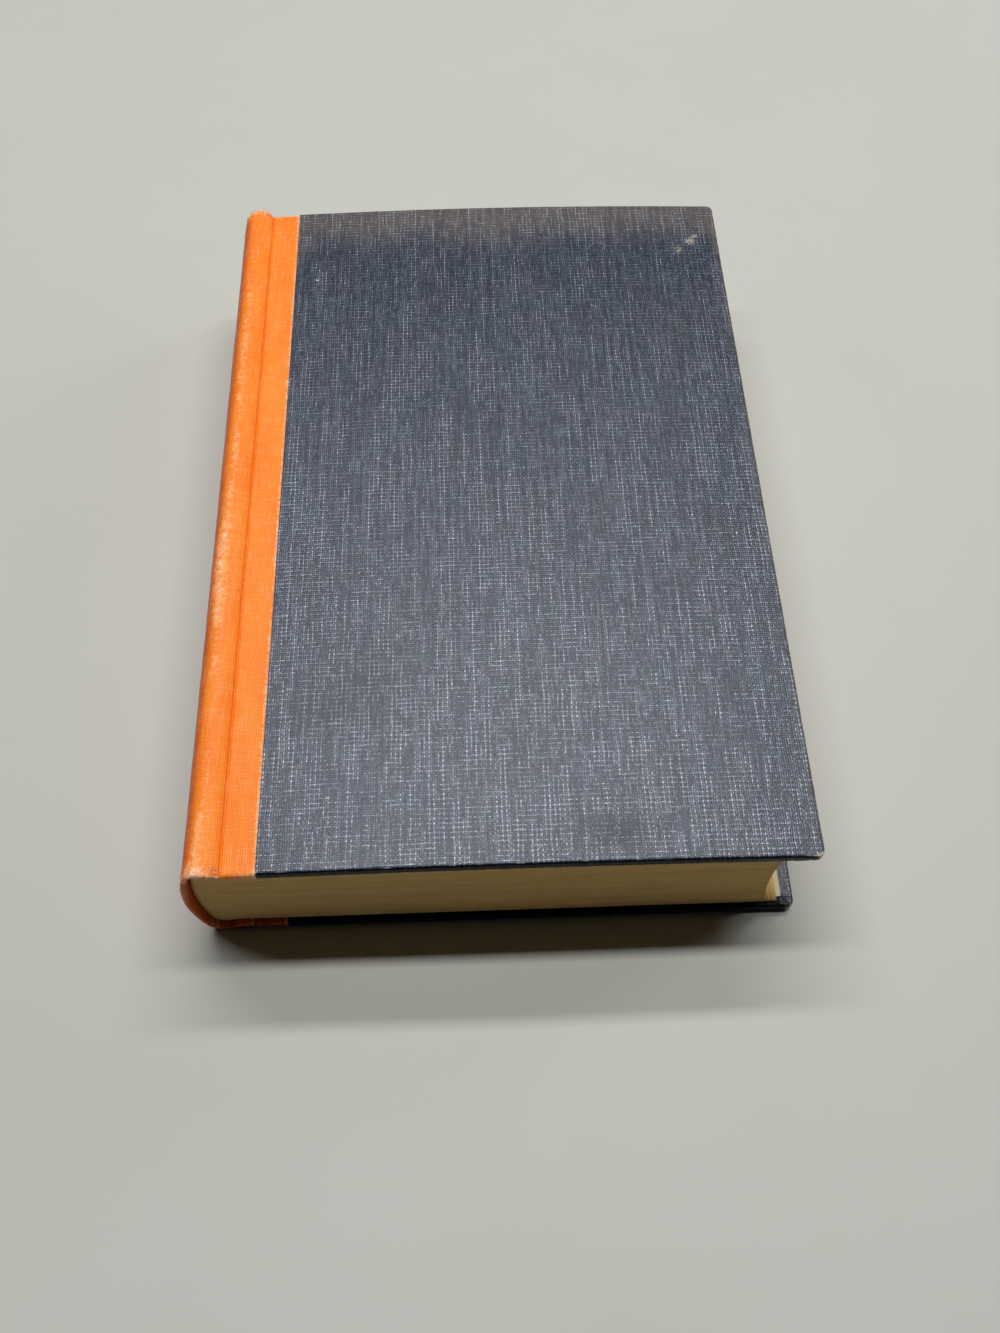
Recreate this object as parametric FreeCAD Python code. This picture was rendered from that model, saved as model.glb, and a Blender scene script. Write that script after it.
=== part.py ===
import FreeCAD, Part
import math
import os

os.makedirs("parts", exist_ok=True)

# A quarter-bound hardback book lying on its back cover, in millimetres.
# While it is drawn, x = 0 is the spine edge of the front board, y = 0 the tail, z = 0 the table.
# The last step moves it so that the origin is under the middle of its box.

# Boards and their cloth
boardHeight = 216.0        # tail to head, over the cloth
coverWidth = 137.7         # spine edge of a board to its fore edge, over the cloth
bookThickness = 41.4       # table to the top of the front cover along the fore edge
boardThickness = 2.4
clothThickness = 0.4
turnIn = 15.0              # cloth folded onto the inside of a board
mitreGap = 0.2             # between the turn-ins at a corner
cornerRound = 1.6          # bumped board corners, seen from above
edgeRound = 0.8            # cloth rounded over the edges of a board
spineClothShows = 7.6      # margin of spine cloth left in view on a board
spineClothLap = 4.0        # spine cloth running on under the side cloth
frontBow = 1.4             # rise of the front board's middle
backBow = 0.0              # the back board lies flat
backShift = 1.3            # back board slid toward the fore edge

# Rounded and backed spine
shoulderRise = 1.4         # front shoulder above the front cover
shoulderRadius = 4.5       # outside of the cloth
spineRadius = 67.4         # outside of the cloth between the shoulders
spineCrownHeight = 17.9    # height of the outermost line of the spine
frontGrooveDepth = 1.4     # below the outside of the cover
backGrooveDepth = 2.2
frontGrooveFlat = 0.15     # flat floor of the tight front groove
inlayThickness = 0.6
liningThickness = 0.2
mullThickness = 0.2
hollowGap = 0.05           # between the cloth turned in over the inlay and the lining
liningSquare = 3.0         # lining shorter than the leaves at each end
mullClear = 2.8            # mull ends short of the turn-ins
mullFlapWidth = 28.0       # mull glued down on the inside of a board

# Text block of folded sections
blockHeight = 209.6
tailSquare = 1.6           # board beyond the last leaf at the tail
blockLean = 2.4            # first leaf lies this much nearer the head than the last
foreSquare = 3.3           # front board beyond the corner of the leaves
foreEdgeHollow = 4.6       # depth of the concave fore edge
flareHeight = 2.0          # outer leaves that spread to the corner
flareBend = 0.1            # how hollow their spread is, as a share of its length
sectionCount = 18
foldRise = 0.35            # round back of each folded section
shoulderRoot = 4.2         # from the middle of a shoulder to where the leaves run straight
leafThickness = 0.15
leafGap = 0.1              # air between a flyleaf and its pastedown

# Cloth joints
jointRise = 0.85           # joint line outside the face of its cover
jointEdgeGap = 0.1         # joint line to the cloth on the board's spine edge
jointGap = 0.3             # joint line to the end of the cloth in the groove

# Levels and places that follow from the sizes
coverThickness = boardThickness + 2 * clothThickness
leavesInset = coverThickness + leafThickness + leafGap + leafThickness
blockBottom = leavesInset
blockTop = bookThickness - leavesInset
leafCorner = coverWidth - foreSquare
spineBuild = 2 * clothThickness + inlayThickness + hollowGap + liningThickness + mullThickness
blockShoulder = shoulderRadius - spineBuild
blockRound = spineRadius - spineBuild
frontJointX = -clothThickness - jointEdgeGap
backJointX = frontJointX + backShift
frontGrooveLevel = bookThickness - frontGrooveDepth
backGrooveLevel = backGrooveDepth
frontShoulderZ = bookThickness + shoulderRise - shoulderRadius
backShoulderZ = shoulderRadius
jointReach = shoulderRadius - spineRadius
grooveWall = math.sqrt(shoulderRadius**2 - (frontGrooveLevel - frontShoulderZ)**2)
frontShoulderX = frontJointX - jointGap - frontGrooveFlat - grooveWall
spineCentreX = frontShoulderX + math.sqrt(jointReach**2 - (frontShoulderZ - spineCrownHeight)**2)
backShoulderX = spineCentreX - math.sqrt(jointReach**2 - (backShoulderZ - spineCrownHeight)**2)
mullEnds = (turnIn + mullClear, boardHeight - turnIn - mullClear)
middleX = (spineCentreX - spineRadius + coverWidth + backShift) / 2


def angleTo(fromX, fromZ, toX, toZ):
    return math.atan2(toZ - fromZ, toX - fromX)


def tangentAngle(centreX, centreZ, pointX, pointZ, side):
    """Angle on the block's shoulder circle where a line from the point touches it."""
    reach = math.hypot(pointX - centreX, pointZ - centreZ)
    return angleTo(centreX, centreZ, pointX, pointZ) + side * math.acos(blockShoulder / reach)


# Angles along the spine, counted from +x toward +z
frontTurn = angleTo(spineCentreX, spineCrownHeight, frontShoulderX, frontShoulderZ)
backTurn = angleTo(spineCentreX, spineCrownHeight, backShoulderX, backShoulderZ) + 2 * math.pi
frontRootX = frontShoulderX + shoulderRoot
backRootX = backShoulderX + shoulderRoot
frontSlope = tangentAngle(frontShoulderX, frontShoulderZ, frontRootX, blockTop, 1)
backSlope = tangentAngle(backShoulderX, backShoulderZ, backRootX, blockBottom, -1) + 2 * math.pi


def point(x, z):
    return FreeCAD.Vector(x, 0, z)


def onCircle(x, z, radius, angle):
    return point(x + radius * math.cos(angle), z + radius * math.sin(angle))


def line(start, end):
    return Part.LineSegment(start, end).toShape()


def arc(start, middle, end):
    return Part.Arc(start, middle, end).toShape()


def sweepAlong(edges, tail, head):
    """Close the edges into a face and run it from the tail to the head."""
    ring = Part.Wire(Part.__sortEdges__(edges))
    section = Part.Face(ring)
    section.translate(FreeCAD.Vector(0, tail, 0))
    return section.extrude(FreeCAD.Vector(0, head - tail, 0))


# The spine's curve at a depth under the outside of its cloth

def spineArcs(depth, start, end):
    """Front shoulder, round back and back shoulder between two angles."""
    small = shoulderRadius - depth
    large = spineRadius - depth
    spans = [(frontShoulderX, frontShoulderZ, small, start, frontTurn),
             (spineCentreX, spineCrownHeight, large, frontTurn, backTurn),
             (backShoulderX, backShoulderZ, small, backTurn, end)]
    edges = []
    for x, z, radius, first, last in spans:
        middle = (first + last) / 2
        edges.append(arc(onCircle(x, z, radius, first), onCircle(x, z, radius, middle),
                         onCircle(x, z, radius, last)))
    return edges


def spineLayer(outer, inner, start, end, tail, head):
    """A layer of even thickness round the spine, cut square at both angles."""
    edges = spineArcs(outer, start, end) + spineArcs(inner, start, end)
    for x, z, angle in ((frontShoulderX, frontShoulderZ, start), (backShoulderX, backShoulderZ, end)):
        edges.append(line(onCircle(x, z, shoulderRadius - outer, angle),
                          onCircle(x, z, shoulderRadius - inner, angle)))
    return sweepAlong(edges, tail, head)


def slopePiece(isFront, outer, inner, tail, head):
    """A layer down the straight side of a shoulder, to the root of the joint."""
    centreX, centreZ, angle = frontShoulderX, frontShoulderZ, frontSlope
    rootX, rootZ = frontRootX, blockTop
    if not isFront:
        centreX, centreZ, angle = backShoulderX, backShoulderZ, backSlope
        rootX, rootZ = backRootX, blockBottom
    corners = [onCircle(centreX, centreZ, shoulderRadius - outer, angle),
               onCircle(rootX, rootZ, spineBuild - outer, angle),
               onCircle(rootX, rootZ, spineBuild - inner, angle),
               onCircle(centreX, centreZ, shoulderRadius - inner, angle)]
    return sweepAlong(Part.makePolygon(corners + corners[:1]).Edges, tail, head)


# Text block

def foldPoint(share, depth):
    """A point at a share of the way round the backs of the sections."""
    spans = [(frontShoulderX, frontShoulderZ, blockShoulder, frontSlope, frontTurn),
             (spineCentreX, spineCrownHeight, blockRound, frontTurn, backTurn),
             (backShoulderX, backShoulderZ, blockShoulder, backTurn, backSlope)]
    left = share * sum(radius * (last - first) for x, z, radius, first, last in spans)
    for x, z, radius, first, last in spans:
        angle = first + left / radius
        if angle <= last or first == backTurn:
            return onCircle(x, z, radius - depth, min(angle, last))
        left -= radius * (last - first)


def foreEdgeX(z):
    """The fore edge repeats the curve of the spine."""
    return leafCorner - foreEdgeHollow + blockRound - math.sqrt(blockRound**2 - (z - spineCrownHeight)**2)


def flare(z, toward):
    """Outer leaves that spread from the hollow out to the corner."""
    inside = z - toward * flareHeight
    start = foreEdgeX(inside)
    middle = point((start + leafCorner) / 2 - flareBend * flareHeight,
                   (inside + z) / 2 + toward * flareBend * (leafCorner - start))
    return arc(point(start, inside), middle, point(leafCorner, z))


def leanedEnds(bottom, top, shorter=0.0):
    """Slanted tail and head, as wide as the whole book."""
    lean = blockLean / (blockTop - blockBottom)
    corners = []
    for z in (bottom, top):
        tail = tailSquare + lean * (z - blockBottom) + shorter
        corners.append((z, tail, tail + blockHeight - 2 * shorter))
    (low, lowTail, lowHead), (high, highTail, highHead) = corners
    start = -coverWidth
    ring = Part.makePolygon([FreeCAD.Vector(start, y, z) for y, z in
                             ((lowTail, low), (lowHead, low), (highHead, high), (highTail, high), (lowTail, low))])
    return Part.Face(ring).extrude(FreeCAD.Vector(3 * coverWidth, 0, 0))


def makeTextBlock():
    edges = []
    for section in range(sectionCount):
        first = section / sectionCount
        last = (section + 1) / sectionCount
        edges.append(arc(foldPoint(first, foldRise), foldPoint((first + last) / 2, 0),
                         foldPoint(last, foldRise)))
    frontRoot = point(frontRootX, blockTop)
    backRoot = point(backRootX, blockBottom)
    edges.append(line(foldPoint(0, foldRise), frontRoot))
    edges.append(line(frontRoot, point(leafCorner, blockTop)))
    edges.append(flare(blockTop, 1))
    upper = blockTop - flareHeight
    lower = blockBottom + flareHeight
    edges.append(arc(point(foreEdgeX(upper), upper), point(foreEdgeX(spineCrownHeight), spineCrownHeight),
                     point(foreEdgeX(lower), lower)))
    edges.append(flare(blockBottom, -1))
    edges.append(line(point(leafCorner, blockBottom), backRoot))
    edges.append(line(backRoot, foldPoint(1, foldRise)))
    block = sweepAlong(edges, 0, boardHeight)
    return block.common(leanedEnds(0, bookThickness + shoulderRise))


def makeFlyleaf(rootX, bottom):
    spineEdge = rootX + mullThickness
    leaf = Part.makeBox(leafCorner - spineEdge, boardHeight, leafThickness,
                        FreeCAD.Vector(spineEdge, 0, bottom))
    return leaf.common(leanedEnds(bottom, bottom + leafThickness))


# Spine: mull and lining on the leaves, inlay and cloth on the hollow side

def makeSpineMull():
    outer = spineBuild - mullThickness
    tail, head = mullEnds
    mull = spineLayer(outer, spineBuild, frontSlope, backSlope, tail, head)
    for isFront in (True, False):
        mull = mull.fuse(slopePiece(isFront, outer, spineBuild, tail, head))
    return mull.removeSplitter()


def makeSpineLining():
    tail = tailSquare + blockLean + liningSquare
    head = tailSquare + blockHeight - liningSquare
    inner = spineBuild - mullThickness
    return spineLayer(inner - liningThickness, inner, math.pi / 2, 3 * math.pi / 2, tail, head)


def makeSpineInlay():
    return spineLayer(clothThickness, clothThickness + inlayThickness, math.pi / 2, 3 * math.pi / 2,
                      clothThickness, boardHeight - clothThickness)


def grooveCloth(isFront, outer, inner, tail, head):
    """Cloth from the crown of a shoulder down to the floor of its groove."""
    centreX, centreZ, jointX, level, up = (frontShoulderX, frontShoulderZ, frontJointX,
                                           frontGrooveLevel, 1)
    if not isFront:
        centreX, centreZ, jointX, level, up = backShoulderX, backShoulderZ, backJointX, backGrooveLevel, -1
    crown = up * math.pi / 2
    edges = []
    ends = []
    for depth in (outer, inner):
        radius = shoulderRadius - depth
        floorZ = level - up * depth
        foot = math.asin((floorZ - centreZ) / radius)
        edges.append(arc(onCircle(centreX, centreZ, radius, crown),
                         onCircle(centreX, centreZ, radius, (crown + foot) / 2),
                         onCircle(centreX, centreZ, radius, foot)))
        end = point(jointX - jointGap, floorZ)
        edges.append(line(onCircle(centreX, centreZ, radius, foot), end))
        ends.append(end)
    edges.append(line(*ends))
    edges.append(line(onCircle(centreX, centreZ, shoulderRadius - outer, crown),
                      onCircle(centreX, centreZ, shoulderRadius - inner, crown)))
    return sweepAlong(edges, tail, head)


def makeSpineCloth():
    """Outer cloth, folded over the ends of the inlay and turned in behind it."""
    start = math.pi / 2
    end = 3 * math.pi / 2
    underInlay = clothThickness + inlayThickness
    folded = underInlay + clothThickness
    pieces = [grooveCloth(True, 0, clothThickness, 0, boardHeight),
              grooveCloth(False, 0, clothThickness, 0, boardHeight)]
    cloth = spineLayer(0, clothThickness, start, end, 0, boardHeight)
    for tail, inward in ((0, 1), (boardHeight, -1)):
        fold = sorted((tail, tail + inward * clothThickness))
        flap = sorted((tail, tail + inward * turnIn))
        pieces.append(spineLayer(clothThickness, underInlay, start, end, *fold))
        pieces.append(spineLayer(underInlay, folded, start, end, *flap))
        for isFront in (True, False):
            pieces.append(grooveCloth(isFront, clothThickness, 2 * clothThickness, *flap))
    return cloth.multiFuse(pieces).removeSplitter()


# Covers, drawn as a front cover whose outside at the edges is z = 0

def faceHeight(x, depth, bow):
    """Height of a layer at a depth under the outside of a cover, with the board's bow."""
    if bow == 0:
        return -depth
    radius = (coverWidth**2 / 4 + bow**2) / (2 * bow)
    return bow - radius + math.sqrt((radius - depth)**2 - (x - coverWidth / 2)**2)


def coverSlab(xs, ys, depths, bow):
    """A layer of a cover between two places across, along and in depth."""
    edges = []
    for depth in depths:
        corners = [point(x, faceHeight(x, depth, bow)) for x in (xs[0], sum(xs) / 2, xs[1])]
        edges.append(line(corners[0], corners[2]) if bow == 0 else arc(*corners))
    for x in xs:
        edges.append(line(*[point(x, faceHeight(x, depth, bow)) for depth in depths]))
    return sweepAlong(edges, *ys)


def roundedCorners(foreX, margin):
    """A tall prism with the bumped fore corners of a board, cut back by the margin."""
    radius = cornerRound + clothThickness - margin
    ys = (margin, boardHeight - margin)
    outline = Part.makeBox(foreX + coverWidth, ys[1] - ys[0], 2 * bookThickness,
                           FreeCAD.Vector(-coverWidth, ys[0], -bookThickness))
    corners = [edge for edge in outline.Edges
               if abs(edge.Vertexes[0].X - foreX) < 0.01 and abs(edge.Vertexes[1].X - foreX) < 0.01
               and abs(edge.Vertexes[0].Z - edge.Vertexes[1].Z) > 1]
    return outline.makeFillet(radius, corners)


def boardSpace(bow):
    """The room of the bare board inside its cloth."""
    slab = coverSlab((0, coverWidth - clothThickness), (clothThickness, boardHeight - clothThickness),
                     (clothThickness, clothThickness + boardThickness), bow)
    return slab.common(roundedCorners(coverWidth - clothThickness, clothThickness))


def makeBoard(bow):
    """Grey board, with the spine cloth pressed into it."""
    pressed = coverSlab((-1, spineClothShows + spineClothLap), (0, boardHeight),
                        (0, 2 * clothThickness), bow)
    return boardSpace(bow).cut(pressed)


def roundedSlab(bow):
    """The outside of a whole cover, with the cloth rounded over its edges."""
    slab = coverSlab((-coverWidth, coverWidth), (0, boardHeight), (0, coverThickness), bow)
    slab = slab.common(roundedCorners(coverWidth, 0))
    rim = []
    for edge in slab.Edges:
        middle = edge.valueAt((edge.FirstParameter + edge.LastParameter) / 2)
        ends = [vertex.Point.z for vertex in edge.Vertexes]
        upright = abs(ends[0] - ends[1]) > coverThickness / 2 and edge.Length < 2 * coverThickness
        if middle.x > -coverWidth + 1 and not upright:
            rim.append(edge)
    return slab.makeFillet(edgeRound, rim)


def makeSideCloth(bow):
    """Side cloth with its turn-ins round three edges, mitred at the corners."""
    inside = clothThickness + boardThickness
    cloth = roundedSlab(bow)
    spineSide = coverSlab((-2 * coverWidth, spineClothShows), (-1, boardHeight + 1),
                          (-bookThickness, bookThickness), bow)
    window = coverSlab((0, coverWidth - turnIn), (turnIn, boardHeight - turnIn),
                       (clothThickness + boardThickness / 2, 2 * coverThickness), bow)
    cloth = cloth.cut(spineSide).cut(boardSpace(bow)).cut(window)
    for tail, inward in ((0, 1), (boardHeight, -1)):
        slit = Part.makeBox(2 * turnIn, mitreGap, bookThickness,
                            FreeCAD.Vector(0, -mitreGap / 2, -bookThickness - inside - clothThickness / 2))
        slit.rotate(FreeCAD.Vector(), FreeCAD.Vector(0, 0, 1), 180 - inward * 45)
        slit.translate(FreeCAD.Vector(coverWidth - cornerRound, tail + inward * cornerRound, 0))
        cloth = cloth.cut(slit)
    return cloth


def makeClothStrip(bow, grooveDepth):
    """The board's share of the spine cloth, folded over its spine edge, head and tail."""
    inside = clothThickness + boardThickness
    strip = coverSlab((-clothThickness, spineClothShows), (0, boardHeight),
                      (clothThickness, coverThickness), bow)
    lap = coverSlab((spineClothShows, spineClothShows + spineClothLap),
                    (clothThickness, boardHeight - clothThickness),
                    (clothThickness, 2 * clothThickness), bow)
    window = coverSlab((-coverWidth, spineClothShows + 1), (turnIn, boardHeight - turnIn),
                       (clothThickness + boardThickness / 2, 2 * coverThickness), bow)
    spineEdge = coverSlab((-coverWidth, 0), (-1, boardHeight + 1), (grooveDepth, 2 * inside), bow)
    strip = strip.cut(makeBoard(bow)).cut(window).cut(spineEdge)
    return strip.fuse(lap).removeSplitter()


def makeMullFlap(bow):
    inside = clothThickness + boardThickness
    return coverSlab((0, mullFlapWidth), mullEnds, (inside, inside + mullThickness), bow)


def makePastedown(bow):
    """End leaf pasted over the turn-ins and the mull, and down onto the bare board."""
    inside = clothThickness + boardThickness
    outside = coverThickness + leafThickness
    ends = tailSquare + blockLean / 2
    fieldXs = (mullFlapWidth, coverWidth - turnIn)
    fieldYs = (turnIn, boardHeight - turnIn)
    hollowXs = (mullFlapWidth + leafThickness, coverWidth - turnIn - leafThickness)
    hollowYs = (turnIn + leafThickness, boardHeight - turnIn - leafThickness)
    sheet = coverSlab((0, leafCorner), (ends, ends + blockHeight), (coverThickness, outside), bow)
    field = coverSlab(fieldXs, fieldYs, (inside, outside), bow)
    hollow = coverSlab(hollowXs, hollowYs, (inside + leafThickness, 2 * coverThickness), bow)
    return sheet.fuse(field).cut(hollow).removeSplitter()


def makeCover(bow, grooveDepth):
    """All pieces of one cover, by name."""
    return {"board": makeBoard(bow), "side_cloth": makeSideCloth(bow),
            "cloth_strip": makeClothStrip(bow, grooveDepth), "mull_flap": makeMullFlap(bow),
            "pastedown": makePastedown(bow)}


def makeBook():
    """Every piece of the book, by name."""
    book = {"text_block": makeTextBlock(),
            "front_flyleaf": makeFlyleaf(frontRootX, blockTop),
            "back_flyleaf": makeFlyleaf(backRootX, blockBottom - leafThickness),
            "spine_mull": makeSpineMull(),
            "spine_lining": makeSpineLining(),
            "spine_inlay": makeSpineInlay(),
            "spine_cloth": makeSpineCloth()}
    for name, piece in makeCover(frontBow, frontGrooveDepth).items():
        piece.translate(FreeCAD.Vector(0, 0, bookThickness))
        book["front_" + name] = piece
    for name, piece in makeCover(backBow, backGrooveDepth).items():
        piece = piece.mirror(FreeCAD.Vector(), FreeCAD.Vector(0, 0, 1))
        piece.translate(FreeCAD.Vector(backShift, 0, 0))
        book["back_" + name] = piece
    return book


for name, shape in makeBook().items():
    shape.translate(FreeCAD.Vector(-middleX, -boardHeight / 2, 0))
    shape.exportStep("parts/" + name + ".step")
    box = shape.BoundBox
    print(name, len(shape.Solids), shape.isValid(), round(shape.Volume, 1),
          [round(value, 2) for value in (box.XMin, box.XMax, box.YMin, box.YMax, box.ZMin, box.ZMax)])
print("front joint", round(frontJointX - middleX, 3), round(bookThickness + jointRise, 3))
print("back joint", round(backJointX - middleX, 3), round(-jointRise, 3))
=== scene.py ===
import math
import random

import bmesh
import bpy
import numpy as np
from mathutils import Matrix, Vector, noise


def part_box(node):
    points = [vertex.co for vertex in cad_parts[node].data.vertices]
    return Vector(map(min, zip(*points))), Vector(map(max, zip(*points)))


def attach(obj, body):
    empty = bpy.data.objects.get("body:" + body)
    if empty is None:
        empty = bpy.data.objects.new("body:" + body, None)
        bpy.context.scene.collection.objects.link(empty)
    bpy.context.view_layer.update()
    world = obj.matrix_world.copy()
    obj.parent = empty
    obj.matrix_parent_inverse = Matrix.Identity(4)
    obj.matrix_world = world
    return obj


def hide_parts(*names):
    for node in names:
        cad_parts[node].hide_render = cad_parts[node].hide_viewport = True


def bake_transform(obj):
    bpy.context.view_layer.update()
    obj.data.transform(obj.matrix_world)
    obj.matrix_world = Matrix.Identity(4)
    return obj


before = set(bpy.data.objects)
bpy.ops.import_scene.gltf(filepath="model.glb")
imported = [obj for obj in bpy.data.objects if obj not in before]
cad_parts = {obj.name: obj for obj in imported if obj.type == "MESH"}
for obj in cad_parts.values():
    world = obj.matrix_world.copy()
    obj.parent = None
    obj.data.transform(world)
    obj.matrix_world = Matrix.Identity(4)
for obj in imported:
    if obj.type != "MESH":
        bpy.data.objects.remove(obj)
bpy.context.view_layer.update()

# All shapes are drawn in millimetres and turned into metres as their mesh is made
mm = 0.001
rng = random.Random(7)
sides = ("front", "back")
# Outward along z, for each cover
upward = {"front": 1, "back": -1}


def boxOf(node):
    low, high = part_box(node)
    return np.array(low) / mm, np.array(high) / mm


def bookSizes():
    # What the frame says about the book, in millimetres
    low, high = boxOf("spine_cloth")
    size = {"spineX": low[0], "tailY": low[1], "headY": high[1], "crownZ": high[2]}
    for side in sides:
        cover = boxOf(side + "_side_cloth")
        size[side + "ClothX"] = cover[0][0]
        size[side + "ForeX"] = cover[1][0]
        size[side + "LipX"] = boxOf(side + "_cloth_strip")[0][0]
    size["insideZ"] = boxOf("front_side_cloth")[0][2]
    size["coverThick"] = boxOf("back_side_cloth")[1][2]
    size["frontZ"] = size["insideZ"] + size["coverThick"]
    size["bow"] = boxOf("front_side_cloth")[1][2] - size["frontZ"]
    leaves = boxOf("text_block")
    size["leafCornerX"] = leaves[1][0]
    size["leavesBottomZ"] = boxOf("back_flyleaf")[1][2]
    size["leavesTopZ"] = boxOf("front_flyleaf")[0][2]
    size["leavesTailY"] = leaves[0][1]
    size["leavesTailTopY"] = boxOf("front_flyleaf")[0][1]
    size["leavesHeadY"] = boxOf("back_flyleaf")[1][1]
    return size


size = bookSizes()
tailY, headY = size["tailY"], size["headY"]
cloth = {"thick": 0.4, "turnIn": 14.6, "inlay": 0.6}


# Meshes

def addObject(name, data):
    thing = bpy.data.objects.new(name, data)
    bpy.context.scene.collection.objects.link(thing)
    return thing


def makePiece(name, points, faces, finish, values=None):
    # Points are in mm; values are named numbers or vectors, one for each point
    mesh = bpy.data.meshes.new(name)
    mesh.from_pydata((np.asarray(points) * mm).tolist(), [], faces)
    for key, data in (values or {}).items():
        data = np.asarray(data, np.float32)
        kind, slot = ("FLOAT", "value") if data.ndim == 1 else ("FLOAT_VECTOR", "vector")
        mesh.attributes.new(key, kind, "POINT").data.foreach_set(slot, data.ravel())
    mesh.validate()
    mesh.materials.append(materials[finish])
    mesh.shade_smooth()
    return addObject(name, mesh)


def tidyMesh(piece, reach=0.004):
    # Joins points that coincide and makes all faces look outward
    work = bmesh.new()
    work.from_mesh(piece.data)
    bmesh.ops.remove_doubles(work, verts=work.verts, dist=reach * mm)
    bmesh.ops.recalc_face_normals(work, faces=work.faces)
    work.to_mesh(piece.data)
    work.free()


def gridFaces(rows, columns, start=0, closed=False):
    faces = []
    last = columns if closed else columns - 1
    for r in range(rows - 1):
        for c in range(last):
            a = start + r * columns + c
            b = start + r * columns + (c + 1) % columns
            faces.append((a, b, b + columns, a + columns))
    return faces


def thicken(piece, thickness, offset=-1.0):
    solid = piece.modifiers.new("thickness", "SOLIDIFY")
    solid.thickness = thickness * mm
    solid.offset = offset
    solid.use_even_offset = False


def ripple(point, scale, seed=0.0):
    # Smooth unevenness between -1 and 1
    return noise.noise(Vector((point[0] / scale + seed, point[1] / scale - seed, point[2] / scale)))


def smooth(low, high, value):
    t = np.clip((value - low) / (high - low), 0, 1)
    return t * t * (3 - 2 * t)


def bell(far, reach):
    return math.exp(-(far / reach)**2)


def spread(start, end, step, fineAtStart=(), fineAtEnd=()):
    # Even steps between two places, finer beside the ends
    direction = 1 if end > start else -1
    length = abs(end - start)
    places = [0.0, *fineAtStart]
    inner = np.linspace(places[-1], length - (fineAtEnd[-1] if fineAtEnd else 0), max(int(length / step), 2))
    places += list(inner[1:])
    places += [length - back for back in reversed(fineAtEnd[:-1])] + ([length] if fineAtEnd else [])
    return start + direction * np.array(places)


# Materials

# The node tree in hand, which newMaterial and makeWorld set
hand = {"tree": None}


def link(source, target):
    hand["tree"].links.new(source, target)


def put(kind, values=None, **settings):
    # Adds a node; values are numbers, colours or the sockets that feed it
    node = hand["tree"].nodes.new(kind)
    for key, value in settings.items():
        setattr(node, key, value)
    for key, value in (values or {}).items():
        if isinstance(value, bpy.types.NodeSocket):
            link(value, node.inputs[key])
        else:
            node.inputs[key].default_value = value
    return node


def calc(operation, *values):
    return put("ShaderNodeMath", dict(enumerate(values)), operation=operation).outputs[0]


def times(first, second):
    return calc("MULTIPLY", first, second)


def scaled(value, factor, start):
    # The value times the factor, plus the start
    return calc("MULTIPLY_ADD", value, factor, start)


def mixColour(share, first, second):
    return put("ShaderNodeMix", {0: share, 6: first, 7: second}, data_type="RGBA").outputs[2]


def between(value, low, high, outLow=0.0, outHigh=1.0):
    return put("ShaderNodeMapRange", {0: value, 1: low, 2: high, 3: outLow, 4: outHigh},
               interpolation_type="SMOOTHSTEP").outputs[0]


def grain(vector, scale, detail=2.0, rough=0.5):
    values = {"Vector": vector, "Scale": scale, "Detail": detail, "Roughness": rough}
    return put("ShaderNodeTexNoise", values).outputs[0]


def stretched(vector, factors):
    return put("ShaderNodeVectorMath", {0: vector, 1: factors}, operation="MULTIPLY").outputs[0]


def named(name, part="Fac"):
    return put("ShaderNodeAttribute", attribute_name=name).outputs[part]


def ownPlace():
    # Where a point is on its own piece, in metres
    return put("ShaderNodeTexCoord").outputs["Object"]


def colour(red, green, blue):
    # Screen values from 0 to 255
    def linear(value):
        value = value / 255
        return value / 12.92 if value <= 0.04045 else ((value + 0.055) / 1.055) ** 2.4
    return (linear(red), linear(green), linear(blue), 1.0)


def newMaterial(name, roughness, specular=None, sheen=None, sheenRoughness=None):
    material = bpy.data.materials.new(name)
    material.use_nodes = True
    hand["tree"] = material.node_tree
    shader = hand["tree"].nodes["Principled BSDF"]
    numbers = {"Roughness": roughness, "Specular IOR Level": specular, "Sheen Weight": sheen,
               "Sheen Roughness": sheenRoughness}
    for key, value in numbers.items():
        if value is not None:
            shader.inputs[key].default_value = value
    return material, shader


def dress(shader, base, height, relief):
    # Colour and fine relief; the relief is in mm
    link(base, shader.inputs["Base Color"])
    node = put("ShaderNodeBump", {"Height": height, "Distance": relief * mm, "Strength": 1.0})
    link(node.outputs[0], shader.inputs["Normal"])


def plainWeave(flat, pitch, wander):
    # Threads over and under each other; flat is the cloth laid out, in mm
    lumps = put("ShaderNodeTexNoise", {"Vector": flat, "Scale": 0.12, "Detail": 3.0})
    shift = stretched(lumps.outputs[1], (wander, wander, 0.0))
    moved = put("ShaderNodeVectorMath", {0: flat, 1: shift}, operation="ADD").outputs[0]
    counted = stretched(moved, (1 / pitch[0], 1 / pitch[1], 0.0))
    axes = put("ShaderNodeSeparateXYZ", {0: counted})
    waves = [calc("SINE", times(axes.outputs[i], math.pi)) for i in (0, 1)]
    over = times(waves[0], waves[1])
    humps = [calc("ABSOLUTE", wave) for wave in waves]
    warp = times(humps[0], scaled(over, 0.5, 0.5))
    weft = times(humps[1], scaled(over, -0.5, 0.5))
    height = calc("MAXIMUM", warp, weft)
    numbers = [calc("FLOOR", axes.outputs[i]) for i in (0, 1)]
    return {"counted": counted, "axes": axes.outputs, "numbers": numbers, "pairs": waves, "warp": warp,
            "weft": weft, "height": height}


# How far apart in the noise two neighbouring threads are
threadApart = 7.31


def alongThreads(weave, way, length, detail=2.0):
    # Unevenness that runs along each thread by itself; length is in threads crossed
    across = times(weave["numbers"][way], threadApart)
    along = times(weave["axes"][1 - way], 1 / length)
    return grain(put("ShaderNodeCombineXYZ", {0: across, 1: along}).outputs[0], 1.0, detail, 0.6)


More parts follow.
